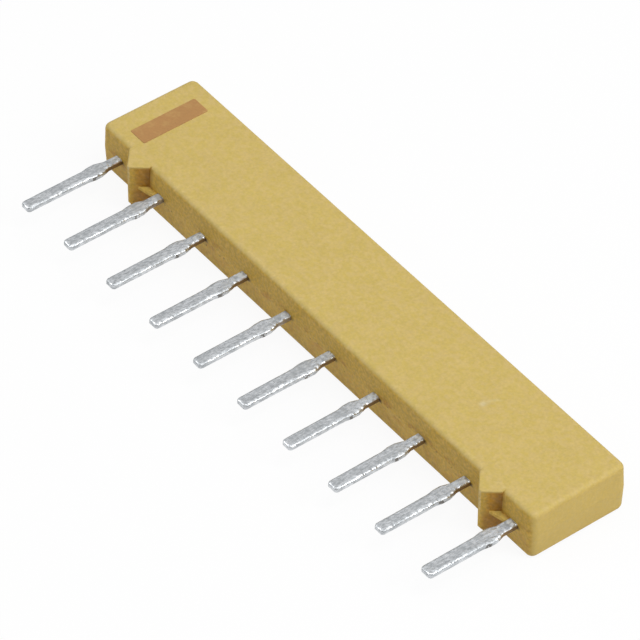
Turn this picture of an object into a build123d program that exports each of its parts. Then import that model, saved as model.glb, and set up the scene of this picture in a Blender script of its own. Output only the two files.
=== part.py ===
from build123d import *
from math import atan2, cos, radians, tan
import os

os.makedirs("parts", exist_ok=True)

# A moulded single-in-line resistor network, lying on its broad back face.
# X runs along the pin row from pin 1 to the last pin, the pins point to -Y, and the marked
# broad face looks up to +Z. The origin lies on the broad back face, midway along the pin row.
# Lengths are in millimetres and angles in degrees.

# Pin row
pin_count = 10
pitch = 2.54

# Moulded body: two drafted halves that meet at the parting line, where the pins leave
body_past_first_pin = 1.11
body_past_last_pin = 0.97
body_depth = 4.23
lower_height = 1.13
upper_height = 1.02
draft = 2.7
corner_radius = 0.32
marked_edge_radius = 0.20
back_edge_radius = 0.26

# Stand-off feet, one in the first gap of the pin row and one in the last
foot_width = 1.22
foot_tip_width = 0.10
foot_tip_lean = 0.10
foot_reach = 0.57
foot_rise = 0.20
foot_root = 0.32
foot_top_radius = 0.05
foot_bottom_radius = 0.24
web_depth_at_foot = 0.40
web_depth_at_pin = 0.12

# Pins, stamped from flat strip
lead_thickness = 0.19
lead_edge_break = 0.03
lead_edge_slant = 35
neck_width = 0.34
neck_length = 0.60
flare_length = 0.35
dam_width = 0.56
dam_length = 0.30
dam_run_out = 0.28
tail_width = 0.455
tip_width = 0.435
tip_chamfer = 0.05
tip_bevel = 0.05
pin_reach = 3.98
trim_skew = 0.96

# Edge clip at the inner end of each pin: one tine above the ceramic and two below it
head_start = 0.20
head_flare = 0.12
head_length = 0.24
clip_run = 0.32
clip_gap = 0.05
tine_reach = 0.62
middle_tine_width = 0.30
outer_tine_width = 0.25
tine_gap = 0.09
bend_radius = 0.06

# Ceramic with its printed films
substrate_thickness = 0.635
substrate_end_wall = 0.45
substrate_back_wall = 0.40
film_thickness = 0.02
pad_width = 1.10
pad_length = 1.12
bus_width = 0.36
bus_inset = 0.14
link_width = 0.40
resistor_width = 0.95
trim_kerf = 0.06
trim_depth = 0.42
trim_leg = 0.35
glaze_thickness = 0.03
glaze_lap = 0.10
glaze_end_margin = 0.35
solder_toe = 0.24

# Index bar printed beside pin 1
bar_width = 0.85
bar_length = 2.89
bar_from_end = 1.01
bar_from_front = 0.60
bar_thickness = 0.02

# Sizes and places that follow from the driving dimensions
row_length = (pin_count - 1) * pitch
body_length = row_length + body_past_first_pin + body_past_last_pin
body_middle_x = (body_past_last_pin - body_past_first_pin) / 2
body_first_end = body_middle_x - body_length / 2
body_height = lower_height + upper_height
front_y = -body_depth / 2
parting_z = lower_height
pin_xs = [n * pitch - row_length / 2 for n in range(pin_count)]
foot_xs = [pin_xs[0] + pitch / 2, pin_xs[-1] - pitch / 2]
web_thickness = lead_thickness - 2 * lead_edge_break

clip_start = head_start + head_flare + head_length
clip_end = clip_start + clip_run
head_width = middle_tine_width + 2 * (tine_gap + outer_tine_width)
outer_tine_x = middle_tine_width / 2 + tine_gap + outer_tine_width / 2

substrate_front = clip_end + clip_gap
substrate_depth = body_depth - substrate_front - substrate_back_wall
substrate_length = body_length - 2 * substrate_end_wall
tine_end = substrate_front + tine_reach
upper_seat = substrate_thickness / 2 + film_thickness
lower_seat = -substrate_thickness / 2

pad_end = substrate_front + pad_length
bus_back = substrate_front + substrate_depth - bus_inset
bus_front = bus_back - bus_width
resistor_length = bus_front - pad_end

# Planes: the films lie on the upper face of the ceramic
parting_plane = Plane((0, front_y, parting_z))
film_plane = parting_plane.offset(substrate_thickness / 2)


def side_plane(x):
    """Plane across the pin row at x: its own x runs into the body and its own y runs up."""
    return Plane(origin=(x, front_y, parting_z), x_dir=(0, 1, 0), z_dir=(1, 0, 0))


def draw_tine(seat, side):
    """Side view of a tine: flat strip, bent from the pin's plane up (1) or down (-1) to its seat."""
    start = head_start + head_flare
    near_face = -side * lead_thickness / 2
    far_face = side * lead_thickness / 2
    slope = atan2(abs(seat - near_face), clip_run)
    mitre = lead_thickness * tan(slope / 2)
    near = FilletPolyline(
        (start, near_face),
        (clip_start, near_face),
        (clip_end, seat),
        (tine_end, seat),
        radius=[bend_radius + lead_thickness, bend_radius],
    )
    far = FilletPolyline(
        (start, far_face),
        (clip_start - mitre, far_face),
        (clip_end - mitre, seat + side * lead_thickness),
        (tine_end, seat + side * lead_thickness),
        radius=[bend_radius, bend_radius + lead_thickness],
    )
    Line(near @ 0, far @ 0)
    Line(near @ 1, far @ 1)


def make_pin(x):
    """One lead: tapered tail, shoulder left by the dam bar, neck, and the edge clip's three tines."""
    reach = pin_reach - x * tan(radians(trim_skew))
    dam_start = neck_length + flare_length
    dam_end = dam_start + dam_length
    with BuildPart() as pin:
        with BuildSketch(Plane((x, front_y, parting_z - lead_thickness / 2))):
            with BuildLine():
                edge = Polyline(
                    (0, -reach),
                    (tip_width / 2 - tip_chamfer, -reach),
                    (tip_width / 2, -reach + tip_chamfer),
                    (tail_width / 2, -dam_end - dam_run_out),
                    (dam_width / 2, -dam_end),
                    (dam_width / 2, -dam_start),
                    (neck_width / 2, -neck_length),
                    (neck_width / 2, head_start),
                    (head_width / 2, head_start + head_flare),
                    (head_width / 2, clip_start),
                    (0, clip_start),
                )
                mirror(edge, about=Plane.YZ)
            make_face()
        extrude(amount=lead_thickness)

        tip_edges = pin.edges().filter_by(Axis.X).group_by(Axis.Y)[0]
        chamfer(tip_edges, tip_bevel)
        # The long edges outside the body are broken: those that slant away from the pin by less
        # than lead_edge_slant
        outside = pin.edges().filter_by(lambda e: e.center().Y < front_y - neck_length / 2)
        long_edges = outside.filter_by(lambda e: abs(e.tangent_at(0).Y) > cos(radians(lead_edge_slant)))
        chamfer(long_edges, lead_edge_break)

        # The middle tine climbs over the front edge of the ceramic and lies on its pad, and the
        # outer tines dive under it and press on its lower face
        with BuildSketch(side_plane(x)):
            with BuildLine():
                draw_tine(upper_seat, 1)
            make_face()
        extrude(amount=middle_tine_width / 2, both=True)
        for tine_x in (x - outer_tine_x, x + outer_tine_x):
            with BuildSketch(side_plane(tine_x)):
                with BuildLine():
                    draw_tine(lower_seat, -1)
                make_face()
            extrude(amount=outer_tine_width / 2, both=True)
    return pin.part


def make_resistor(x):
    """One printed resistor from its pad to the common bus, with the laser's L-shaped trim cut."""
    with BuildPart() as resistor:
        with BuildSketch(film_plane):
            with Locations((x, pad_end + resistor_length / 2)):
                Rectangle(resistor_width, resistor_length)
            leg_x = x + resistor_width / 2 - trim_depth
            cut_y = pad_end + (resistor_length - trim_leg) / 2
            with Locations((leg_x, cut_y)):
                Rectangle(trim_depth, trim_kerf, align=(Align.MIN, Align.MIN), mode=Mode.SUBTRACT)
                Rectangle(trim_kerf, trim_leg, align=(Align.MIN, Align.MIN), mode=Mode.SUBTRACT)
        extrude(amount=film_thickness)
    return resistor.part


def make_solder(x):
    """The solder toe that joins the end of the middle tine to its pad, with a hollow slope."""
    toe = (tine_end + solder_toe, upper_seat)
    heel = (tine_end, upper_seat + lead_thickness)
    with BuildPart() as solder:
        with BuildSketch(side_plane(x)):
            with BuildLine():
                Polyline(toe, (tine_end, upper_seat), heel)
                RadiusArc(heel, toe, -(solder_toe + lead_thickness))
            make_face()
        extrude(amount=middle_tine_width / 2, both=True)
    return solder.part


# Pins
pins = [make_pin(x) for x in pin_xs]

# Ceramic substrate, held by its front edge in the clips
with BuildPart() as ceramic_substrate:
    with BuildSketch(parting_plane.offset(-substrate_thickness / 2)):
        with Locations((body_middle_x, substrate_front)):
            Rectangle(substrate_length, substrate_depth, align=(Align.CENTER, Align.MIN))
    extrude(amount=substrate_thickness)

# Conductor film: a pad under every clip, the common bus, and the link from the first pad to it
with BuildPart() as conductor_film:
    with BuildSketch(film_plane):
        with Locations(*[(x, substrate_front) for x in pin_xs]):
            Rectangle(pad_width, pad_length, align=(Align.CENTER, Align.MIN))
        with Locations((0, bus_front)):
            Rectangle(row_length + pad_width, bus_width, align=(Align.CENTER, Align.MIN))
        with Locations((pin_xs[0], pad_end)):
            Rectangle(link_width, resistor_length, align=(Align.CENTER, Align.MIN))
    extrude(amount=film_thickness)

# Resistors: one for each pin but the first, which is the common pin
resistors = [make_resistor(x) for x in pin_xs[1:]]

# Glass overglaze: it lies on the films, fills the trim cuts and reaches the ceramic between them
with BuildPart() as overglaze:
    with BuildSketch(film_plane):
        with Locations((body_middle_x, pad_end - glaze_lap)):
            Rectangle(
                substrate_length - 2 * glaze_end_margin,
                resistor_length + 2 * glaze_lap,
                align=(Align.CENTER, Align.MIN),
            )
    extrude(amount=film_thickness + glaze_thickness)
    add([conductor_film.part] + resistors, mode=Mode.SUBTRACT)

# Solder joints
solders = [make_solder(x) for x in pin_xs]

# One stand-off foot: a blunt wedge whose tip leans to the last pin, flush with the marked face
# and short of the back face
with BuildPart() as foot:
    with BuildSketch(Plane((0, front_y, foot_rise))):
        with BuildLine():
            Polyline(
                (foot_tip_lean - foot_tip_width / 2, -foot_reach),
                (foot_tip_lean + foot_tip_width / 2, -foot_reach),
                (foot_width / 2, 0),
                (foot_width / 2, foot_root),
                (-foot_width / 2, foot_root),
                (-foot_width / 2, 0),
                close=True,
            )
        make_face()
    extrude(amount=body_height - foot_rise)
    tip_bottom = foot.edges().filter_by(Axis.X).group_by(Axis.Y)[0].sort_by(Axis.Z)[0]
    fillet(tip_bottom, foot_bottom_radius)
    outside = foot.edges().filter_by(lambda e: e.center().Y < front_y)
    fillet(outside.group_by(Axis.Z)[-1], foot_top_radius)

# Moulded body: both halves, the feet and the thin webs beside them, closed round all inner pieces
with BuildPart() as moulded_body:
    for half_height in (upper_height, -lower_height):
        with BuildSketch(Plane((body_middle_x, 0, parting_z))):
            RectangleRounded(body_length, body_depth, corner_radius)
        extrude(amount=half_height, taper=draft)
    broad_faces = moulded_body.faces().filter_by(Axis.Z).sort_by(Axis.Z)
    fillet(broad_faces[-1].edges(), marked_edge_radius)
    broad_faces = moulded_body.faces().filter_by(Axis.Z).sort_by(Axis.Z)
    fillet(broad_faces[0].edges(), back_edge_radius)
    for foot_x in foot_xs:
        add(foot.part.moved(Location((foot_x, 0, 0))))
        with BuildSketch(Plane((foot_x, front_y, parting_z - web_thickness / 2))):
            with BuildLine():
                Polyline(
                    (0, foot_root),
                    (0, -web_depth_at_foot),
                    (pitch / 2, -web_depth_at_pin),
                    (pitch / 2, foot_root),
                    close=True,
                )
            make_face()
        extrude(amount=web_thickness)
    films = [conductor_film.part, overglaze.part] + resistors
    add(pins + [ceramic_substrate.part] + films + solders, mode=Mode.SUBTRACT)

# Index bar
with BuildPart() as index_bar:
    with BuildSketch(Plane((body_first_end + bar_from_end, front_y + bar_from_front, body_height))):
        Rectangle(bar_width, bar_length, align=(Align.MIN, Align.MIN))
    extrude(amount=bar_thickness)

pieces = {
    "moulded_body": moulded_body.part,
    "index_bar": index_bar.part,
    "ceramic_substrate": ceramic_substrate.part,
    "conductor_film": conductor_film.part,
    "overglaze": overglaze.part,
}
for number, pin in enumerate(pins, 1):
    pieces[f"pin_{number}"] = pin
for number, resistor in enumerate(resistors, 1):
    pieces[f"resistor_{number}"] = resistor
for number, solder in enumerate(solders, 1):
    pieces[f"solder_{number}"] = solder

for name, piece in pieces.items():
    piece.label = name
    export_step(piece, f"parts/{name}.step")
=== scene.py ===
# %% [markdown]
# A resistor network is a slim bar of moulded epoxy with a row of flat pins along one edge. The
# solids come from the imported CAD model, which gives every piece its size and its place. This
# script dresses them: each piece gets its real finish, and the pins get the lumpy coat of solder
# that the bare stamped strip doesn't show.

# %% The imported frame
from math import cos, radians, sin

import bmesh
import bpy
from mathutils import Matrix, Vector, noise


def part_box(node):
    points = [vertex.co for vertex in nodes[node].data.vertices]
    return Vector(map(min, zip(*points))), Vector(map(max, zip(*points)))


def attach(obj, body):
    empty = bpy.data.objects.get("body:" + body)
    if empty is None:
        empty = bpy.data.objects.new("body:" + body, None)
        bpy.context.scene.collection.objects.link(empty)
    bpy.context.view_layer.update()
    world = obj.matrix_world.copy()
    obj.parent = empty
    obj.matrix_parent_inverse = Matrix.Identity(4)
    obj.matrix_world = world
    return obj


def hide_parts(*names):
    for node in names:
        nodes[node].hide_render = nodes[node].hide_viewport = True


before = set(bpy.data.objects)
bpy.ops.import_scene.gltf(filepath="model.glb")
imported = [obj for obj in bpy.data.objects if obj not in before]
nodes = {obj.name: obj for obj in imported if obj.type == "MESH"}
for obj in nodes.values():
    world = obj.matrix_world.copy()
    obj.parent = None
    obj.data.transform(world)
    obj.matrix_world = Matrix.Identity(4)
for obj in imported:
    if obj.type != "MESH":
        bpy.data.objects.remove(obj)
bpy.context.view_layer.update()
MM = 0.001
print("nodes in the frame", len(nodes))

# %% [markdown]
# Later cells place their work by a handful of sizes. They are read from the CAD nodes here, once,
# so that a change of the model moves the finish with it. The body is as deep in front of the
# middle as behind it, so its front face lies as far from the middle as its back.

# %% Sizes from the frame
pin_names = sorted((name for name in nodes if name.startswith("pin_")), key=lambda name: int(name[4:]))
body_low, body_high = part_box("moulded_body")
bar_low, bar_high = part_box("index_bar")
front_y = -body_high.y
pin_boxes = [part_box(name) for name in pin_names]
pin_xs = [(low.x + high.x) / 2 for low, high in pin_boxes]
pin_count = len(pin_xs)
pitch = (pin_xs[-1] - pin_xs[0]) / (pin_count - 1)
print("pins", pin_count, "pitch in mm", round(pitch / MM, 3), "front face", round(front_y / MM, 3))

# %% [markdown]
# A pin leaves the body as a narrow neck, widens to the shoulder where the stamping's dam bar was
# cut away, and ends as a tapered tail. Its outline is read off the CAD mesh as stations, each
# with a place along Y and half the width there. Only the corners of the cut edge count: those of
# the broad faces lie further in, because the strip's long edges are broken. Corners that lie
# close together are merged to the widest, and the tip's small chamfer is passed over.

# %% Outline of each pin
station_gap = 0.02 * MM
cut_edge_share = 0.8

tail_zs = [v.co.z for v in nodes[pin_names[0]].data.vertices if v.co.y < front_y]
strip_low = min(tail_zs)
strip_high = max(tail_zs)
parting_z = (strip_low + strip_high) / 2
cut_edge_reach = cut_edge_share * (strip_high - strip_low) / 2


def pin_outline(name, middle):
    """Stations (y, half width) of a pin outside the body, from its tip to its root."""
    outside = [v.co for v in nodes[name].data.vertices if v.co.y < front_y]
    found = sorted((p.y, abs(p.x - middle)) for p in outside if abs(p.z - parting_z) < cut_edge_reach)
    stations = []
    for y, half_width in found:
        if stations and y - stations[-1][0] < station_gap:
            if half_width > stations[-1][1]:
                stations[-1] = (stations[-1][0], half_width)
        else:
            stations.append((y, half_width))
    stations[0] = (stations[0][0], stations[1][1])
    root_half_width = stations[-1][1]
    return stations + [(front_y, root_half_width)]


def half_width_at(stations, y):
    """Half the pin's width at y, straight between the stations."""
    if y <= stations[0][0]:
        return stations[0][1]
    for (low_y, low_half), (high_y, high_half) in zip(stations, stations[1:]):
        if y <= high_y:
            share = (y - low_y) / (high_y - low_y)
            return low_half + (high_half - low_half) * share
    return stations[-1][1]


outlines = [pin_outline(name, x) for name, x in zip(pin_names, pin_xs)]
for y, half_width in outlines[0]:
    print("first pin at", round(y / MM, 3), "half width", round(half_width / MM, 3))
print("strip from", round(strip_low / MM, 3), "to", round(strip_high / MM, 3))

# %% [markdown]
# The photo was taken with a long lens from above the pin side, so parallel edges stay nearly
# parallel. A camera is easiest to keep right as a target, two angles and a distance. An azimuth of
# zero looks along +Y.

# %% Camera
camera_target = Vector((-0.40, -1.35, 1.13)) * MM
camera_azimuth = radians(52.67)
camera_elevation = radians(44.43)
camera_distance = 190.6 * MM
camera_lens = 304.19
camera_sensor = 36.0
nearest_seen = 10 * MM

look = Vector(
    (
        -sin(camera_azimuth) * cos(camera_elevation),
        cos(camera_azimuth) * cos(camera_elevation),
        -sin(camera_elevation),
    )
)
camera_data = bpy.data.cameras.new("camera")
camera_data.lens = camera_lens
camera_data.sensor_width = camera_sensor
camera_data.clip_start = nearest_seen
camera = bpy.data.objects.new("camera", camera_data)
camera.rotation_euler = look.to_track_quat("-Z", "Y").to_euler()
camera.location = camera_target - look * camera_distance
bpy.context.scene.collection.objects.link(camera)
bpy.context.scene.camera = camera
print("camera at", [round(value, 4) for value in camera.location])

# %% [markdown]
# Materials are small graphs of nodes. A few helpers keep the cells that build them short. The
# first ones make a node, link it or set its values, and do sums on sockets.

# %% Helpers: nodes and sums
def add_node(tree, kind, **values):
    """Makes a node and sets the properties named."""
    node = tree.nodes.new(kind)
    for name, value in values.items():
        setattr(node, name, value)
    return node


def connect(tree, value, socket):
    """Links a socket, or sets a plain value."""
    if isinstance(value, bpy.types.NodeSocket):
        tree.links.new(value, socket)
    else:
        socket.default_value = value


def set_inputs(tree, node, **values):
    """Sets or links input sockets by name, with _ for a space."""
    for name, value in values.items():
        connect(tree, value, node.inputs[name.replace("_", " ")])
    return node


def calculate(tree, operation, *values):
    """A Math node, as its output socket."""
    node = add_node(tree, "ShaderNodeMath", operation=operation)
    for socket, value in zip(node.inputs, values):
        connect(tree, value, socket)
    return node.outputs[0]


def product(tree, *values):
    """The product of several masks."""
    result = values[0]
    for value in values[1:]:
        result = calculate(tree, "MULTIPLY", result, value)
    return result


# %% [markdown]
# A mark on a surface is placed by a mask: a number from 0 to 1 that says how much of the mark
# shows at a point. Most masks are a smooth rise along some distance, or a band round a place. The
# cells name a rise as where it starts and where it ends, and some add the values that it has
# there. They name a band as its middle, its reach to each side and the width of its soft rim.

# %% Helpers: masks
def rise(tree, value, start, end, low=0.0, high=1.0):
    """Goes smoothly from low where the value is at start to high where it is at end."""
    node = add_node(tree, "ShaderNodeMapRange", interpolation_type="SMOOTHSTEP")
    set_inputs(tree, node, Value=value, From_Min=start, From_Max=end, To_Min=low, To_Max=high)
    return node.outputs[0]


def band(tree, value, middle, reach, soft):
    """1 within reach of the middle, and 0 further out than reach and soft together."""
    distance = calculate(tree, "ABSOLUTE", calculate(tree, "SUBTRACT", value, middle))
    return rise(tree, distance, reach + soft, reach)


def sides(tree, vector):
    """The three parts of a vector socket."""
    node = add_node(tree, "ShaderNodeSeparateXYZ")
    tree.links.new(vector, node.inputs[0])
    return node.outputs


def facings(tree):
    """How far the surface faces along X, Y and Z, each from -1 to 1."""
    return sides(tree, add_node(tree, "ShaderNodeTexCoord").outputs["Normal"])


# %% [markdown]
# Places are measured in millimetres of the object's own coordinates, so a stain stays where it is
# put when the part turns. Noise gives the unevenness. Its values crowd round 0.5, so masks and
# tones are drawn from a range near it, in several cells from 0.3 to 0.7.

# %% Helpers: places and noise
common_noise = (0.3, 0.7)
noise_middle = 0.5


def places(tree, stretch=(1, 1, 1)):
    """The object's own coordinates in millimetres, as a vector socket."""
    where = add_node(tree, "ShaderNodeTexCoord")
    scaled = add_node(tree, "ShaderNodeVectorMath", operation="MULTIPLY")
    tree.links.new(where.outputs["Object"], scaled.inputs[0])
    scaled.inputs[1].default_value = [part / MM for part in stretch]
    return scaled.outputs[0]


def grain(tree, where, scale, detail=2.0):
    """Noise with this many cells to the millimetre, as a value socket near 0.5."""
    node = add_node(tree, "ShaderNodeTexNoise")
    set_inputs(tree, node, Vector=where, Scale=scale, Detail=detail)
    return node.outputs[0]


# %% [markdown]
# Colours are written as sRGB values from 0 to 255, as a picture program shows them. Nodes take
# linear values, in which half the number is half the light, so a helper converts them.

# %% Helpers: colours and relief
def colour(red, green, blue):
    """An sRGB colour as the linear values that nodes take."""
    parts = [part / 255 for part in (red, green, blue)]
    linear = [part / 12.92 if part <= 0.04045 else ((part + 0.055) / 1.055) ** 2.4 for part in parts]
    return (*linear, 1.0)


def mix_colours(tree, factor, first, second):
    """A mix of two colours, each a socket or a value, as its output socket."""
    node = add_node(tree, "ShaderNodeMix", data_type="RGBA")
    connect(tree, factor, node.inputs["Factor"])
    connect(tree, first, node.inputs[6])
    connect(tree, second, node.inputs[7])
    return node.outputs[2]


def toned(tree, paint, tone):
    """A colour, socket or value, made darker or lighter by a tone near 1."""
    node = add_node(tree, "ShaderNodeVectorMath", operation="SCALE")
    connect(tree, paint, node.inputs[0])
    connect(tree, tone, node.inputs["Scale"])
    return node.outputs[0]


def relief(tree, height, strength, depth):
    """The normals of a slight relief with this depth in metres."""
    node = add_node(tree, "ShaderNodeBump")
    set_inputs(tree, node, Height=height, Strength=strength, Distance=depth)
    return node.outputs[0]


# %% [markdown]
# Every finish is a material with one Principled shader. Patterns that several finishes share are
# node groups, so that they are built once.

# %% Helpers: materials and groups
def new_material(name):
    """A material with a Principled shader, as (material, tree, shader)."""
    material = bpy.data.materials.new(name)
    material.use_nodes = True
    tree = material.node_tree
    shader = tree.nodes["Principled BSDF"]
    return material, tree, shader


def new_group(name, inputs, outputs):
    """An empty node group with value sockets, as (group, its input node, its output node)."""
    group = bpy.data.node_groups.new(name, "ShaderNodeTree")
    for title in inputs:
        group.interface.new_socket(title, in_out="INPUT", socket_type="NodeSocketFloat")
    for title in outputs:
        group.interface.new_socket(title, in_out="OUTPUT", socket_type="NodeSocketFloat")
    return group, group.nodes.new("NodeGroupInput"), group.nodes.new("NodeGroupOutput")


def use_group(tree, group, **values):
    """A node that uses a group, with its inputs set."""
    node = add_node(tree, "ShaderNodeGroup", node_tree=group)
    return set_inputs(tree, node, **values)


def dress(name, material):
    """Gives a CAD node its finish. The mesh keeps its shape."""
    mesh = nodes[name].data
    mesh.materials.clear()
    mesh.materials.append(material)


# %% [markdown]
# The photo's studio is a light tent: the top face is the brightest, the end face nearly as bright
# and the pin side about half as bright. A world that is bright overhead and dim at the horizon
# gives the top and the pin side. Reflections never see it darker than a set value, because solder
# that mirrors a dark horizon would turn black.

# %% Tent
scene = bpy.context.scene
scene.view_settings.view_transform = "Standard"

tent_low = 0.10
tent_high = 1.15
tent_rise = (0.35, 1.0)
tent_gloss = 0.45

world = bpy.data.worlds.new("tent")
world.use_nodes = True
scene.world = world
tree = world.node_tree
direction = add_node(tree, "ShaderNodeTexCoord")
height = sides(tree, direction.outputs["Generated"])["Z"]
glow = rise(tree, height, *tent_rise, tent_low, tent_high)
path = add_node(tree, "ShaderNodeLightPath")
glow = calculate(tree, "MAXIMUM", glow, product(tree, path.outputs["Is Glossy Ray"], tent_gloss))
set_inputs(tree, tree.nodes["Background"], Color=(1, 1, 1, 1), Strength=glow)
print("tent from", tent_low, "at the horizon to", tent_high, "overhead")

# %% [markdown]
# Round softboxes add what the tent lacks. The large one on the right lights the end face. A
# smaller one high up gives the white glints along the pins, and a weak one on the left lights the
# pins' ends. The fourth shows only in reflections, so it puts glints on the tips and leaves the
# epoxy beside them as it is.

# %% Softboxes
box_distance = 300 * MM
softboxes = {
    "side_box": ((0.675, 0.433, 0.543), 160 * MM, 0.34),
    "top_box": ((0.36, 0.15, 0.92), 110 * MM, 0.16),
    "left_box": ((-0.568, -0.70, 0.433), 110 * MM, 0.06),
    "tip_box": ((-0.568, -0.48, 0.66), 120 * MM, 0.14),
}


def add_softbox(name, toward, size, power):
    """A round area light that looks at the part from a direction, with its power in watts."""
    toward = Vector(toward).normalized()
    light_data = bpy.data.lights.new(name, "AREA")
    light_data.shape = "DISK"
    light_data.size = size
    light_data.energy = power
    light = bpy.data.objects.new(name, light_data)
    light.location = camera_target + toward * box_distance
    light.rotation_euler = (-toward).to_track_quat("-Z", "Y").to_euler()
    scene.collection.objects.link(light)
    return light


boxes = {name: add_softbox(name, *values) for name, values in softboxes.items()}
boxes["tip_box"].visible_diffuse = False
for name, box in boxes.items():
    print(name, "at", [round(value, 3) for value in box.location])

# %% [markdown]
# The floor is a large pale sheet. To the camera and in reflections it is lifted towards white, as
# on a lit table, and for all other rays it is a plain pale surface, so it still takes a soft
# shadow and still throws light back onto the sides of the part.

# %% Floor
floor_size = 600 * MM
floor_tone = 0.80
floor_roughness = 0.9
floor_lift = 0.91
floor_glow = 1.01

floor_mesh = bpy.data.meshes.new("floor")
shape = bmesh.new()
bmesh.ops.create_grid(shape, x_segments=1, y_segments=1, size=floor_size / 2)
shape.to_mesh(floor_mesh)
shape.free()
floor_sheet = bpy.data.objects.new("floor", floor_mesh)
scene.collection.objects.link(floor_sheet)

material, tree, shader = new_material("pale_floor")
set_inputs(tree, shader, Base_Color=(floor_tone, floor_tone, floor_tone, 1), Roughness=floor_roughness)
set_inputs(tree, shader, Specular_IOR_Level=0.0)
light = add_node(tree, "ShaderNodeEmission")
set_inputs(tree, light, Strength=floor_glow)
path = add_node(tree, "ShaderNodeLightPath")
seen = calculate(tree, "MAXIMUM", path.outputs["Is Camera Ray"], path.outputs["Is Glossy Ray"])
blend = add_node(tree, "ShaderNodeMixShader")
tree.links.new(product(tree, seen, floor_lift), blend.inputs[0])
tree.links.new(shader.outputs[0], blend.inputs[1])
tree.links.new(light.outputs[0], blend.inputs[2])
tree.links.new(blend.outputs[0], tree.nodes["Material Output"].inputs["Surface"])
floor_mesh.materials.append(material)
print("floor lifted by", floor_lift)

# %% [markdown]
# Moulded epoxy is filled with glass powder, so its colour is never quite even: a fine speckle of
# filler grains and a broad, faint mottle. The same skin shows in the roughness and as a slight
# relief, so all three come from one group of nodes that several finishes share.

# %% Group: skin of a filled resin
resin_skin, group_in, group_out = new_group(
    "resin_skin", inputs=("Speckle", "Mottle"), outputs=("Tone", "Roughness", "Height")
)
tree = resin_skin
speckle_scale = 11.0
mottle_scale = 0.9
pore_scale = 22.0
skin_detail = 3.0
resin_roughness = (0.5, 0.68)

where = places(tree)
fine = calculate(tree, "SUBTRACT", grain(tree, where, speckle_scale, skin_detail), noise_middle)
broad = calculate(tree, "SUBTRACT", grain(tree, where, mottle_scale, skin_detail), noise_middle)
speckle = product(tree, fine, group_in.outputs["Speckle"])
mottle = product(tree, broad, group_in.outputs["Mottle"])
tone = calculate(tree, "ADD", calculate(tree, "ADD", speckle, mottle), 1.0)
roughness = rise(tree, grain(tree, where, speckle_scale), *common_noise, *resin_roughness)
pores = grain(tree, where, pore_scale, skin_detail)
tree.links.new(tone, group_out.inputs["Tone"])
tree.links.new(roughness, group_out.inputs["Roughness"])
tree.links.new(pores, group_out.inputs["Height"])
print("resin skin", len(tree.nodes), "nodes")

# %% [markdown]
# Small dark flecks lie thinly on the pin side. A Voronoi pattern has one point to a cell, with a
# random colour of its own. A cell keeps its fleck if a number drawn from that colour lies under
# the share wanted. Each fleck gets a ragged edge from a little noise.

# %% Group: flecks
flecks, group_in, group_out = new_group("flecks", inputs=("Cells", "Share", "Size"), outputs=("Mask",))
tree = flecks
ragged_scale = 25.0
ragged_reach = (-0.1, 0.1)
fleck_rim = (0.0, 0.4)

where = places(tree)
cell = add_node(tree, "ShaderNodeTexVoronoi")
set_inputs(tree, cell, Vector=where, Scale=group_in.outputs["Cells"])
draw = sides(tree, cell.outputs["Color"])["X"]
kept = calculate(tree, "LESS_THAN", draw, group_in.outputs["Share"])
wobble = rise(tree, grain(tree, where, ragged_scale), *common_noise, *ragged_reach)
ragged = calculate(tree, "ADD", cell.outputs["Distance"], wobble)
inside = calculate(tree, "SUBTRACT", 1.0, calculate(tree, "DIVIDE", ragged, group_in.outputs["Size"]))
mask = product(tree, rise(tree, inside, *fleck_rim), kept)
tree.links.new(mask, group_out.inputs["Mask"])
print("flecks", len(tree.nodes), "nodes")

# %% [markdown]
# Marks that repeat along the pin row need to know where the nearest pin is. The group folds X at
# the pitch. It gives the distance to the nearest pin's middle, positive towards the last pin, the
# distance out from the body's front face, and a steady random number for each pin, so no two
# pins carry the same marks.

# %% Group: nearest pin
nearest_pin, group_in, group_out = new_group("nearest_pin", inputs=(), outputs=("Beside", "Out", "Draw"))
tree = nearest_pin

x, y, z = sides(tree, places(tree))
turns = calculate(tree, "ADD", calculate(tree, "DIVIDE", x, pitch / MM), 0.5 - pin_xs[0] / pitch)
fold = calculate(tree, "SUBTRACT", calculate(tree, "FRACT", turns), 0.5)
beside = calculate(tree, "MULTIPLY", fold, pitch / MM)
out = calculate(tree, "SUBTRACT", front_y / MM, y)
lottery = add_node(tree, "ShaderNodeTexWhiteNoise", noise_dimensions="1D")
tree.links.new(calculate(tree, "FLOOR", turns), lottery.inputs["W"])
tree.links.new(beside, group_out.inputs["Beside"])
tree.links.new(out, group_out.inputs["Out"])
tree.links.new(lottery.outputs["Value"], group_out.inputs["Draw"])
print("nearest pin", len(tree.nodes), "nodes")

# %% [markdown]
# The faces of the body differ in colour, so the epoxy needs to know which face a point lies on.
# The front and the end are told by place and by the way the surface faces. Each foot has a flank
# that looks towards the last pin and carries painted shade, deeper in the corner at the wall and
# below the parting line, under the web. The webs are the thin flash beside the feet, and their tops
# carry painted light. All of these are masks over one material, which keeps the body a single piece.

# %% Epoxy: the parts of the body
epoxy, tree, shader = new_material("epoxy")
top_z = body_high.z / MM
line_z = parting_z / MM
foot_x = (pin_xs[-1] - pitch / 2) / MM
foot_depth = (front_y - body_low.y) / MM
top_rim = (top_z - 0.02, top_z - 0.14)
front_rim = (-0.16, -0.05)
end_turn = (0.3, 0.8)
foot_reach = (0.72, 0.04)
flank_turn = (0.3, 0.5)
flank_fade = (foot_depth - 0.06, foot_depth - 0.30, 0.1, 1.0)
corner_rise = (line_z + 0.05, line_z - 0.25, 0.27, 0.60)
corner_fade = (1.0, 0.1)
low_flank_fade = (foot_depth + 0.02, foot_depth - 0.14)
low_flank_rise = (line_z + 0.15, line_z - 0.25)
low_flank_strength = 0.65
web_turn = (0.6, 0.9)
web_start = (0.0, 0.04)
web_band = (line_z, 0.14, 0.05)

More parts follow.
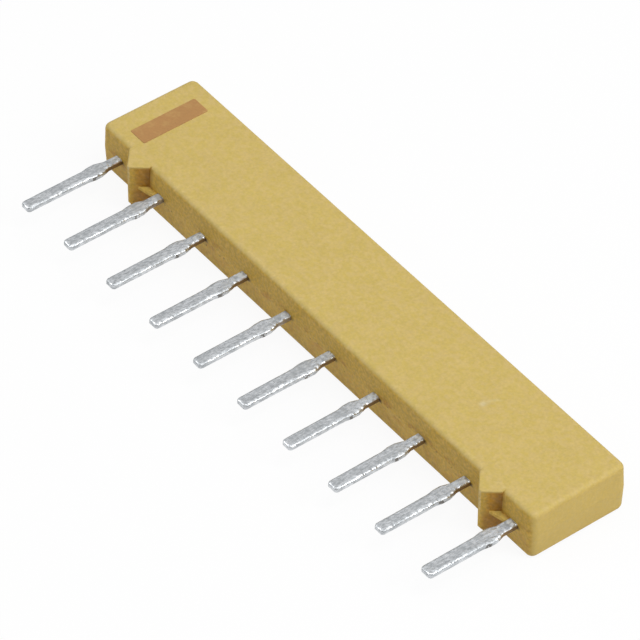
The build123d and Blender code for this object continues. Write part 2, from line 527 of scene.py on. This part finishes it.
x, y, z = sides(tree, places(tree))
pin = use_group(tree, nearest_pin)
beside = pin.outputs["Beside"]
out = pin.outputs["Out"]
facing = facings(tree)
below_top = rise(tree, z, *top_rim)
on_front = product(tree, rise(tree, out, *front_rim), below_top)
on_end = product(tree, rise(tree, calculate(tree, "ABSOLUTE", facing["X"]), *end_turn), below_top)
by_foot = band(tree, calculate(tree, "ABSOLUTE", x), foot_x, *foot_reach)
# Masks for painted shade on each foot's flank, deeper in the corner at the wall and under the web.
on_flank = product(
    tree, by_foot, rise(tree, facing["X"], *flank_turn), rise(tree, out, *flank_fade), below_top
)
from_wall = calculate(tree, "DIVIDE", out, rise(tree, z, *corner_rise))
in_corner = product(tree, on_flank, rise(tree, from_wall, *corner_fade))
low_flank = product(
    tree,
    by_foot,
    rise(tree, facing["X"], *flank_turn),
    rise(tree, out, *low_flank_fade),
    rise(tree, z, *low_flank_rise),
    low_flank_strength,
)
# Mask for painted light on the upward tops of the webs.
on_web = product(
    tree, rise(tree, facing["Z"], *web_turn), rise(tree, out, *web_start), band(tree, z, *web_band)
)
print("epoxy masks", len(tree.nodes), "nodes")

# %% [markdown]
# The epoxy is mustard yellow and matt, with beige patches. The pin side is browner than the top;
# why isn't known, and residue from moulding is a likely cause. The flanks of the feet, their
# corners and the wall beside them are painted darker and browner still, as painted shade. The
# webs' tops are painted paler, as painted light from above. Each colour is laid over the ones
# before it, through its own mask.

# %% Epoxy: base colours
top_colour = colour(199, 174, 93)
beige_colour = colour(202, 176, 105)
front_colour = colour(206, 168, 66)
end_colour = colour(200, 172, 90)
# Painted shade for the flanks, the corners and the wall beside the feet, and painted light for the webs'
# tops.
painted_flank_shade = colour(183, 133, 34)
painted_corner_shade = colour(158, 111, 30)
painted_web_light = colour(208, 179, 90)
patch_scale = 3.6
patch_rise = (0.38, 0.64)
mark_detail = 3.0
wall_foot_reach = (0.80, 0.05)
wall_foot_side = (-0.44, -0.66)
wall_foot_fade = (0.08, 0.0)
wall_foot_strength = 0.6

# Painted shade on the front wall beside each foot.
beside_foot = product(
    tree,
    band(tree, calculate(tree, "ABSOLUTE", x), foot_x, *wall_foot_reach),
    rise(tree, beside, *wall_foot_side),
    rise(tree, out, *wall_foot_fade),
    on_front,
    wall_foot_strength,
)
patchy = rise(tree, grain(tree, places(tree), patch_scale, mark_detail), *patch_rise)
paint = mix_colours(tree, patchy, top_colour, beige_colour)
paint = mix_colours(tree, on_end, paint, end_colour)
paint = mix_colours(tree, on_front, paint, front_colour)
paint = mix_colours(tree, on_flank, paint, painted_flank_shade)
paint = mix_colours(tree, calculate(tree, "MAXIMUM", in_corner, low_flank), paint, painted_corner_shade)
paint = mix_colours(tree, beside_foot, paint, painted_corner_shade)
paint = mix_colours(tree, on_web, paint, painted_web_light)
print("epoxy base", len(tree.nodes), "nodes")

# %% [markdown]
# Marks lie where the pins come out: a dark brown streak to the right of each root, stronger at
# some than at others, and rust-coloured stains along the parting line and below it and a few dark
# specks, which handling and soldering leave. They lie on the front wall. Each kind has a mask of its
# own, so that it can be placed and weighed alone, and the darkest goes on last.

# %% Epoxy: streaks and stains
root_streak_colour = colour(66, 46, 18)
stain_colour = colour(178, 122, 42)
speck_colour = colour(96, 66, 26)
wall_fade = (0.08, 0.02)
root_streak_band = (-0.01, 0.04, 0.09)
root_streak_start = 0.17
root_streak_end = 0.40
root_streak_soft = 0.04
root_streak_draw = (0.1, 0.9, 0.45, 1.0)
stain_band = (0.02, 0.10, 0.28)
stain_stretch = (1.0, 1.0, 2.2)
stain_scale = 1.5
stain_rise = (0.50, 0.66)
stain_strength = 0.6
rust_depth = (0.0, -0.35)
rust_scale = 4.5
rust_rise = (0.46, 0.62)
rust_strength = 0.32
speck_band = (-0.12, 0.10, 0.25)
speck_strength = 0.6

off_line = calculate(tree, "SUBTRACT", z, line_z)
on_wall = product(tree, on_front, rise(tree, out, *wall_fade))
# A dark brown streak to the right of each root, stronger at some pins than at others.
root_streak = product(
    tree,
    on_wall,
    band(tree, off_line, *root_streak_band),
    rise(tree, beside, root_streak_start - root_streak_soft, root_streak_start),
    rise(tree, beside, root_streak_end, root_streak_start + root_streak_soft),
    rise(tree, pin.outputs["Draw"], *root_streak_draw),
)
blotch = rise(tree, grain(tree, places(tree, stain_stretch), stain_scale, mark_detail), *stain_rise)
stain = product(tree, on_wall, band(tree, off_line, *stain_band), blotch, stain_strength)
rusty = rise(tree, grain(tree, places(tree), rust_scale, mark_detail), *rust_rise)
off_web = calculate(tree, "SUBTRACT", rust_strength, product(tree, on_web, rust_strength))
rust = product(tree, on_front, rise(tree, off_line, *rust_depth), rusty, off_web)
specks = use_group(tree, flecks, Cells=4.5, Share=0.45, Size=0.22)
dark_specks = product(
    tree, specks.outputs["Mask"], on_wall, band(tree, off_line, *speck_band), speck_strength
)
paint = mix_colours(tree, stain, paint, stain_colour)
paint = mix_colours(tree, rust, paint, stain_colour)
paint = mix_colours(tree, dark_specks, paint, speck_colour)
paint = mix_colours(tree, root_streak, paint, root_streak_colour)
print("epoxy with stains", len(tree.nodes), "nodes")

# %% [markdown]
# The upper edge of the pin side and the ridge of each foot carry a painted highlight, pale in
# places, where noise breaks it up. The top has one small scuff: a short head and a fainter tail that
# bends away from it.

# %% Epoxy: painted highlights and a scuff
# The colour of the painted highlights on the edges and ridges.
painted_highlight_colour = colour(222, 202, 146)
scuff_colour = colour(216, 208, 180)
highlight_patch_scale = 5.0
highlight_patch_rise = (0.48, 0.66)
edge_highlight_out_band = (-0.18, 0.08, 0.12)
edge_highlight_z_band = (2.06, 0.08, 0.08)
edge_highlight_strength = 0.16
ridge_fade = (foot_depth - 0.035, foot_depth - 0.01)
ridge_rise = (line_z - 0.2, line_z + 0.4)
ridge_scale = 4.0
ridge_highlight_rise = (0.36, 0.60)
ridge_strength = 0.6
top_face = (top_z - 0.1, top_z - 0.05)
scuff_x = 7.11
scuff_y = -0.01
scuff_bend = 0.7
head_x_band = (scuff_x, 0.02, 0.16)
head_y_band = (scuff_y, 0.02, 0.20)
tail_x_band = (scuff_x, 0.01, 0.10)
tail_y_band = (scuff_y + 0.32, 0.20, 0.20)
head_strength = 0.34
tail_strength = 0.16

# Painted highlights along the upper edge of the pin side and on each foot's ridge.
highlight_patches = rise(tree, grain(tree, places(tree), highlight_patch_scale, mark_detail), *highlight_patch_rise)
painted_edge_highlight = product(
    tree, highlight_patches, band(tree, out, *edge_highlight_out_band), band(tree, z, *edge_highlight_z_band), edge_highlight_strength
)
painted_ridge_highlight = product(
    tree,
    by_foot,
    rise(tree, out, *ridge_fade),
    rise(tree, z, *ridge_rise),
    rise(tree, grain(tree, places(tree), ridge_scale, mark_detail), *ridge_highlight_rise),
    ridge_strength,
)
on_top = rise(tree, z, *top_face)
along_scuff = calculate(tree, "SUBTRACT", x, product(tree, y, y, scuff_bend))
scuff_head = product(tree, band(tree, x, *head_x_band), band(tree, y, *head_y_band), head_strength)
scuff_tail = product(
    tree, band(tree, along_scuff, *tail_x_band), band(tree, y, *tail_y_band), tail_strength
)
scuff = product(tree, on_top, calculate(tree, "MAXIMUM", scuff_head, scuff_tail))
paint = mix_colours(tree, calculate(tree, "MAXIMUM", painted_edge_highlight, painted_ridge_highlight), paint, painted_highlight_colour)
paint = mix_colours(tree, scuff, paint, scuff_colour)
print("epoxy with wear", len(tree.nodes), "nodes")

# %% [markdown]
# Over the colours and the marks lies the skin of the moulded resin. A little pale filler shows
# through it everywhere, and its speckle, roughness and pores come from the group above. The pin
# side looks grittier in the photo, so a coarser grain is mixed in there. The grain is raised to
# the power of that side's mask, which makes it 1, and so without effect, on the other faces.

# %% Epoxy: skin
filler_colour = colour(230, 220, 196)
filler_scale = 7.0
filler_rise = (0.35, 0.70, 0.0, 0.05)
grit_scale = 9.0
grit_tones = (0.86, 1.12)
resin_relief = 0.004 * MM
resin_relief_strength = 0.25

skin = use_group(tree, resin_skin, Speckle=0.30, Mottle=0.10)
filler = rise(tree, grain(tree, places(tree), filler_scale, mark_detail), *filler_rise)
paint = mix_colours(tree, filler, paint, filler_colour)
grit = rise(tree, grain(tree, places(tree), grit_scale, mark_detail), *common_noise, *grit_tones)
front_tone = calculate(tree, "POWER", grit, on_front)
paint = toned(tree, paint, product(tree, skin.outputs["Tone"], front_tone))
pores = relief(tree, skin.outputs["Height"], resin_relief_strength, resin_relief)
set_inputs(tree, shader, Base_Color=paint, Roughness=skin.outputs["Roughness"])
set_inputs(tree, shader, Normal=pores, Specular_IOR_Level=0.4)
dress("moulded_body", epoxy)
print("epoxy", len(tree.nodes), "nodes")

# %% [markdown]
# The index bar is printed with a stamp of terracotta ink. Ink has no sharp corners: it draws back
# a little as it dries and its rim slopes to the surface. So the CAD bar, a plain slab, is shown as
# a slab of the same size whose corners and rim are rounded.

# %% Index bar: shape
ink_corner = 0.07 * MM
ink_rim = 0.014 * MM
corner_steps = 5
rim_steps = 3
bar_size = bar_high - bar_low
bar_middle = (bar_high + bar_low) / 2


def round_edges(shape, edges, radius, steps):
    """Rounds edges of a mesh in the making."""
    bmesh.ops.bevel(
        shape,
        geom=edges,
        offset=radius,
        offset_type="OFFSET",
        segments=steps,
        profile=0.5,
        affect="EDGES",
        material=-1,
    )


shape = bmesh.new()
bmesh.ops.create_cube(shape, size=1.0)
bmesh.ops.scale(shape, vec=bar_size, verts=shape.verts)
bmesh.ops.translate(shape, vec=bar_middle, verts=shape.verts)
posts = [edge for edge in shape.edges if abs(edge.verts[0].co.z - edge.verts[1].co.z) > bar_size.z / 2]
round_edges(shape, posts, ink_corner, corner_steps)
rim = [edge for edge in shape.edges if min(vert.co.z for vert in edge.verts) > bar_middle.z]
round_edges(shape, rim, ink_rim, rim_steps)
ink_mesh = bpy.data.meshes.new("index_ink")
shape.to_mesh(ink_mesh)
print("index ink", len(ink_mesh.polygons), "faces")
shape.free()
index_ink = bpy.data.objects.new("index_ink", ink_mesh)
scene.collection.objects.link(index_ink)
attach(index_ink, "root")
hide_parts("index_bar")

# %% [markdown]
# The ink takes on the resin's grain, since it is thinner than the grains are wide, and it is a
# little thin in places, where the yellow shows through.

# %% Index bar: ink
ink, tree, shader = new_material("ink")
ink_colour = colour(175, 129, 75)
thin_colour = colour(187, 149, 88)
thin_scale = 3.0
thin_rise = (0.50, 0.75, 0.0, 0.6)
ink_roughness = 0.62
ink_relief_strength = 0.2

skin = use_group(tree, resin_skin, Speckle=0.22, Mottle=0.10)
thin = rise(tree, grain(tree, places(tree), thin_scale, mark_detail), *thin_rise)
paint = toned(tree, mix_colours(tree, thin, ink_colour, thin_colour), skin.outputs["Tone"])
pores = relief(tree, skin.outputs["Height"], ink_relief_strength, resin_relief)
set_inputs(tree, shader, Base_Color=paint, Roughness=ink_roughness, Normal=pores)
ink_mesh.materials.append(ink)
dress("index_bar", ink)
print("ink", len(tree.nodes), "nodes")

# %% [markdown]
# The pins were dipped in solder, which leaves a thin lumpy coat: nearly flat on the broad faces,
# and drawn up into beads where the cut edge meets a broad face. The photo shows the beads along
# the upper right edge. The formula puts them on the opposite edge, at the lower left, as well.
# The coats of three pins are heavier at the sides, because those pins look wider in the photo.

# %% Solder coats: thickness
coat_flat = 0.024 * MM
coat_wave = 0.006 * MM
coat_bead = 0.030 * MM
wave_size = 0.30 * MM
bead_size = 0.11 * MM
wave_lift = 0.5
bead_lift = 0.3
seed_steps = (7.3, 3.1, 5.7)
heavy_coats = {"pin_6": 0.016 * MM, "pin_8": 0.012 * MM, "pin_10": 0.026 * MM}


def coat_depth(point, seed, on_shoulder):
    """The coat's thickness at a point: broad waves, and beads where on_shoulder nears 1."""
    shift = Vector(seed * step for step in seed_steps)
    drawn_out = Vector((point.x, point.y / 2, point.z))
    wave = noise.noise(drawn_out / wave_size + shift)
    bead = noise.noise(point / bead_size + shift)
    return coat_flat + coat_wave * (wave + wave_lift) + coat_bead * max(0.0, bead + bead_lift) * on_shoulder


print("coat from", coat_flat / MM, "mm, beads of", coat_bead / MM, "mm")

# %% [markdown]
# Each coat starts as a cube cut into a fine grid, because lumps need many small faces. The grid is
# stretched to the pin's outline and its long edges are rounded, the upper right one most. Towards
# the tip the outline narrows a little and that rounding shrinks, so that the strip's corners stay
# under the solder. Then every vertex is pushed out by the coat's thickness there.

# %% Solder coats: a rounded block
edge_radius = 0.05 * MM
shoulder_radius = 0.14 * MM
tip_radius = 0.09 * MM


def cut_grid(shape, axis, cuts):
    """Cuts every edge that runs along an axis of the cube."""
    along = [e for e in shape.edges if abs(e.verts[0].co[axis] - e.verts[1].co[axis]) > 0.5]
    bmesh.ops.subdivide_edges(shape, edges=along, cuts=cuts, use_grid_fill=True)


def rounded_place(point, half, radii, core_end):
    """Where a point of the block lies once the edges are rounded, and the way out there."""
    core = Vector(
        max(radius - reach, min(reach - radius, part)) for part, reach, radius in zip(point, half, radii)
    )
    core.y = max(core_end, point.y)
    away = Vector(part / radius for part, radius in zip(point - core, radii))
    if away.length == 0:
        return point, Vector()
    away.normalize()
    outward = Vector(part / radius for part, radius in zip(away, radii)).normalized()
    return core + Vector(part * radius for part, radius in zip(away, radii)), outward


print("edges rounded by", edge_radius / MM, "and", shoulder_radius / MM, "mm")

# %% [markdown]
# The coats are closed solids that reach a hair into the body, so no gap shows at the root. They
# stand round the CAD pins, which stay as they are inside them.

# %% Solder coats: shape
cuts_along = 190
cuts_across = 21
cuts_thick = 9
root_overlap = 0.008 * MM
tip_narrowing = 0.024 * MM
tip_run = 0.15 * MM


def coat_pin(number, name, middle, stations):
    """The solder coat round a pin, from just inside the body's face to just past the tip."""
    shape = bmesh.new()
    bmesh.ops.create_cube(shape, size=1.0)
    cut_grid(shape, 1, cuts_along)
    cut_grid(shape, 0, cuts_across)
    cut_grid(shape, 2, cuts_thick)
    tip_y = stations[0][0]
    root_y = front_y + root_overlap
    half_length = (root_y - tip_y) / 2
    half = Vector((0, half_length, (strip_high - strip_low) / 2))
    for vert in shape.verts:
        y = (root_y + tip_y) / 2 + vert.co.y * 2 * half_length
        near_tip = max(0.0, 1 - (y - tip_y) / tip_run)
        half.x = half_width_at(stations, y) - tip_narrowing * near_tip * near_tip
        point = Vector(2 * share * reach for share, reach in zip(vert.co, half))
        upper_right = vert.co.x > 0 and vert.co.z > 0
        upper_radius = shoulder_radius + (edge_radius - shoulder_radius) * near_tip
        radii = Vector((upper_radius if upper_right else edge_radius, tip_radius, edge_radius))
        rounded, outward = rounded_place(point, half, radii, tip_radius - half_length)
        placed = Vector((middle, (root_y + tip_y) / 2, parting_z)) + rounded
        on_shoulder = max(0.0, 2 * outward.x * outward.z)
        extra = heavy_coats.get(name, 0.0) * abs(outward.x)
        vert.co = placed + outward * (coat_depth(placed, number, on_shoulder) + extra)
    mesh = bpy.data.meshes.new(f"solder_coat_{number}")
    shape.to_mesh(mesh)
    shape.free()
    mesh.polygons.foreach_set("use_smooth", [True] * len(mesh.polygons))
    coat = bpy.data.objects.new(f"solder_coat_{number}", mesh)
    scene.collection.objects.link(coat)
    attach(coat, "root")
    return coat


coats = [
    coat_pin(number, name, x, stations)
    for number, (name, x, stations) in enumerate(zip(pin_names, pin_xs, outlines), 1)
]
print("coats", len(coats), "faces in each", len(coats[0].data.polygons))

# %% [markdown]
# Solder cools to a dull silver with brighter and greyer patches and a fine grain of crystals, both
# drawn out along the pin. The group gives the tone, the roughness and the relief of that skin, for
# the coats and for the joints inside the body.

# %% Group: skin of cooled solder
solder_skin, group_in, group_out = new_group(
    "solder_skin", inputs=(), outputs=("Tone", "Roughness", "Height")
)
tree = solder_skin
patch_stretch = (1.0, 0.35, 1.0)
solder_patch_scale = 4.5
solder_patch_detail = 3.0
crystal_stretch = (1.0, 0.5, 1.0)
crystal_scale = 12.0
crystal_detail = 4.0
tone_patches = 0.4
tone_crystals = 0.6
tone_rise = (0.36, 0.64)
solder_roughness = (0.40, 0.60, 0.50, 0.22)

patches = grain(tree, places(tree, patch_stretch), solder_patch_scale, solder_patch_detail)
crystals = grain(tree, places(tree, crystal_stretch), crystal_scale, crystal_detail)
patch_tone = product(tree, patches, tone_patches)
mottled = calculate(tree, "ADD", patch_tone, product(tree, crystals, tone_crystals))
tree.links.new(rise(tree, mottled, *tone_rise), group_out.inputs["Tone"])
tree.links.new(rise(tree, patches, *solder_roughness), group_out.inputs["Roughness"])
tree.links.new(crystals, group_out.inputs["Height"])
print("solder skin", len(tree.nodes), "nodes")

# %% [markdown]
# The coat isn't silver all over. The flat top of the neck carries a frosted crust in flakes. Its
# white is painted bluer against the brown light from the wall, and it is painted brighter towards
# the root, where the wall shades it. The solder never wet the right-hand side of the neck, so the
# copper alloy shows brown there. Where the dam bar was cut off the shoulder there is a dark scar,
# and the coat is darker in a thin band at the root. That band is masked by place, and the others
# by facing as well.

# %% Solder coats: marks
coating, tree, shader = new_material("solder_coat")
neck_end = 0.85
scar_from = 1.24
scar_to = 1.36
frost_end = 0.62
right_turn = (0.70, 0.92)
wander_scale = 7.0
wander_reach = (-0.08, 0.08)
bare_fade = (neck_end, neck_end - 0.12)
bare_draw = (0.0, 0.6, 0.55, 1.0)
scar_soft = 0.03
scar_strength = 0.8
dark_root_fade = (0.05, 0.0)
dark_root_strength = 0.4
frost_fade = (frost_end + 0.2, frost_end - 0.25)
frost_turn = (0.84, 0.96)
frost_strength = 0.85

skin = use_group(tree, solder_skin)
pin = use_group(tree, nearest_pin)
facing = facings(tree)
right_side = rise(tree, facing["X"], *right_turn)
wander = rise(tree, grain(tree, places(tree), wander_scale), *common_noise, *wander_reach)
out = calculate(tree, "ADD", pin.outputs["Out"], wander)
bare = product(
    tree,
    right_side,
    rise(tree, out, *bare_fade),
    rise(tree, pin.outputs["Draw"], *bare_draw),
)
scar_band = ((scar_from + scar_to) / 2, (scar_to - scar_from) / 2, scar_soft)
scar = product(tree, right_side, band(tree, out, *scar_band), scar_strength)
# A darker band on the coat right at the root.
dark_root_band = product(tree, rise(tree, out, *dark_root_fade), dark_root_strength)
frost = product(tree, rise(tree, out, *frost_fade), rise(tree, facing["Z"], *frost_turn), frost_strength)
print("solder marks", len(tree.nodes), "nodes")

# %% [markdown]
# The marks are laid over the silver one after the other: the crust, the bare metal, the scar and
# the dark band at the root. The last three raise the roughness, up to 0.6 where their mask is full,
# and all four are less metallic than the solder, so they mirror less.

# %% Solder coats: finish
bright_solder = colour(217, 220, 223)
grey_solder = colour(174, 178, 181)
# The crust's white is painted bluer than solder, against the brown light from the wall.
frost_colour = colour(234, 242, 251)
grey_frost = colour(150, 157, 166)
bare_copper = colour(132, 104, 62)
scar_colour = colour(84, 76, 66)
dark_root_colour = colour(96, 78, 48)
flake_scale = 6.0
flake_rise = (0.40, 0.60)
flake_share = 0.45
crystal_share = 0.3
# Painted light: the crust is made brighter towards the root, where the wall shades it.
painted_root_light = (0.36, 0.10, 0.0, 0.3)
dull_roughness = 0.6
solder_metal = 0.8
dull_metal = 0.2
solder_relief = 0.012 * MM
solder_relief_strength = 1.0

flakes = rise(tree, grain(tree, places(tree), flake_scale), *flake_rise)
crystal_light = product(tree, skin.outputs["Tone"], crystal_share)
crust = calculate(tree, "ADD", product(tree, flakes, flake_share), crystal_light)
flakes_and_painted_light = calculate(tree, "ADD", crust, rise(tree, out, *painted_root_light))
paint = mix_colours(tree, skin.outputs["Tone"], grey_solder, bright_solder)
paint = mix_colours(tree, frost, paint, mix_colours(tree, flakes_and_painted_light, grey_frost, frost_colour))
paint = mix_colours(tree, bare, paint, bare_copper)
paint = mix_colours(tree, scar, paint, scar_colour)
paint = mix_colours(tree, dark_root_band, paint, dark_root_colour)
dull = calculate(tree, "MAXIMUM", bare, calculate(tree, "MAXIMUM", scar, dark_root_band))
roughness = calculate(tree, "MAXIMUM", skin.outputs["Roughness"], product(tree, dull, dull_roughness))
covered = calculate(tree, "MAXIMUM", dull, frost)
lumps = relief(tree, skin.outputs["Height"], solder_relief_strength, solder_relief)
set_inputs(tree, shader, Base_Color=paint, Roughness=roughness, Normal=lumps)
set_inputs(tree, shader, Metallic=rise(tree, covered, 0.0, 1.0, solder_metal, dull_metal))
for coat in coats:
    coat.data.materials.append(coating)
print("solder coat", len(tree.nodes), "nodes")

# %% [markdown]
# The rest shows only in a section: the copper strip inside each coat, and inside the body the
# white ceramic with the silver film printed on it. The strip has streaks from rolling, drawn out
# along the pin. The ceramic uses the skin of the resin with hardly any speckle, and the printed
# film is a mix of two greys.

# %% Strip, ceramic and film
copper_strip, tree, shader = new_material("copper_strip")
copper_colours = (colour(196, 140, 98), colour(222, 170, 128))
copper_roughness = (0.28, 0.42)
streak_stretch = (1.0, 0.1, 1.0)
streak_scale = 18.0
streaks = grain(tree, places(tree, streak_stretch), streak_scale)
set_inputs(tree, shader, Base_Color=mix_colours(tree, streaks, *copper_colours), Metallic=1.0)
set_inputs(tree, shader, Roughness=rise(tree, streaks, *common_noise, *copper_roughness))

alumina, tree, shader = new_material("alumina")
alumina_colour = colour(236, 233, 224)[:3]
skin = use_group(tree, resin_skin, Speckle=0.05, Mottle=0.04)
paint = toned(tree, alumina_colour, skin.outputs["Tone"])
set_inputs(tree, shader, Base_Color=paint, Roughness=skin.outputs["Roughness"])

silver_film, tree, shader = new_material("silver_film")
silver_colours = (colour(178, 174, 166), colour(214, 211, 204))
silver_scale = 16.0
film_detail = 3.0
printed = grain(tree, places(tree), silver_scale, film_detail)
set_inputs(tree, shader, Base_Color=mix_colours(tree, printed, *silver_colours))
set_inputs(tree, shader, Roughness=0.45, Metallic=0.9)
print("made", copper_strip.name, alumina.name, silver_film.name)

# %% [markdown]
# The resistors are a nearly black glassy film, the overglaze above them is a smooth green glass,
# and the solder between the clips and their pads has the same skin as the coats.

# %% Resistors, glaze and joints
resistor_film, tree, shader = new_material("resistor_film")
resistor_colours = (colour(38, 38, 40), colour(62, 61, 62))
resistor_scale = 14.0
printed = grain(tree, places(tree), resistor_scale, film_detail)
set_inputs(tree, shader, Base_Color=mix_colours(tree, printed, *resistor_colours), Roughness=0.38)

glaze, tree, shader = new_material("green_glaze")
glaze_colours = (colour(40, 84, 62), colour(58, 106, 80))
flow_scale = 2.0
flow = grain(tree, places(tree), flow_scale)
set_inputs(tree, shader, Base_Color=mix_colours(tree, flow, *glaze_colours))
set_inputs(tree, shader, Roughness=0.16, Coat_Weight=0.3)

joint_solder, tree, shader = new_material("joint_solder")
joint_colours = (colour(168, 170, 172), colour(206, 208, 208))
skin = use_group(tree, solder_skin)
set_inputs(tree, shader, Base_Color=mix_colours(tree, skin.outputs["Tone"], *joint_colours))
set_inputs(tree, shader, Roughness=skin.outputs["Roughness"], Metallic=1.0)
print("made", resistor_film.name, glaze.name, joint_solder.name)

# %% [markdown]
# The names of the CAD nodes say what each inner piece is made of, so the finishes are given out
# by the start of the name. A new pin or resistor in the model is dressed without a change here.

# %% Finishes onto the inner pieces
inner_finishes = {
    "pin_": copper_strip,
    "ceramic_": alumina,
    "conductor_": silver_film,
    "resistor_": resistor_film,
    "overglaze": glaze,
    "solder_": joint_solder,
}
dressed = 0
for name in nodes:
    for start, material in inner_finishes.items():
        if name.startswith(start):
            dress(name, material)
            dressed += 1
print("inner pieces dressed", dressed, "of", len(nodes))
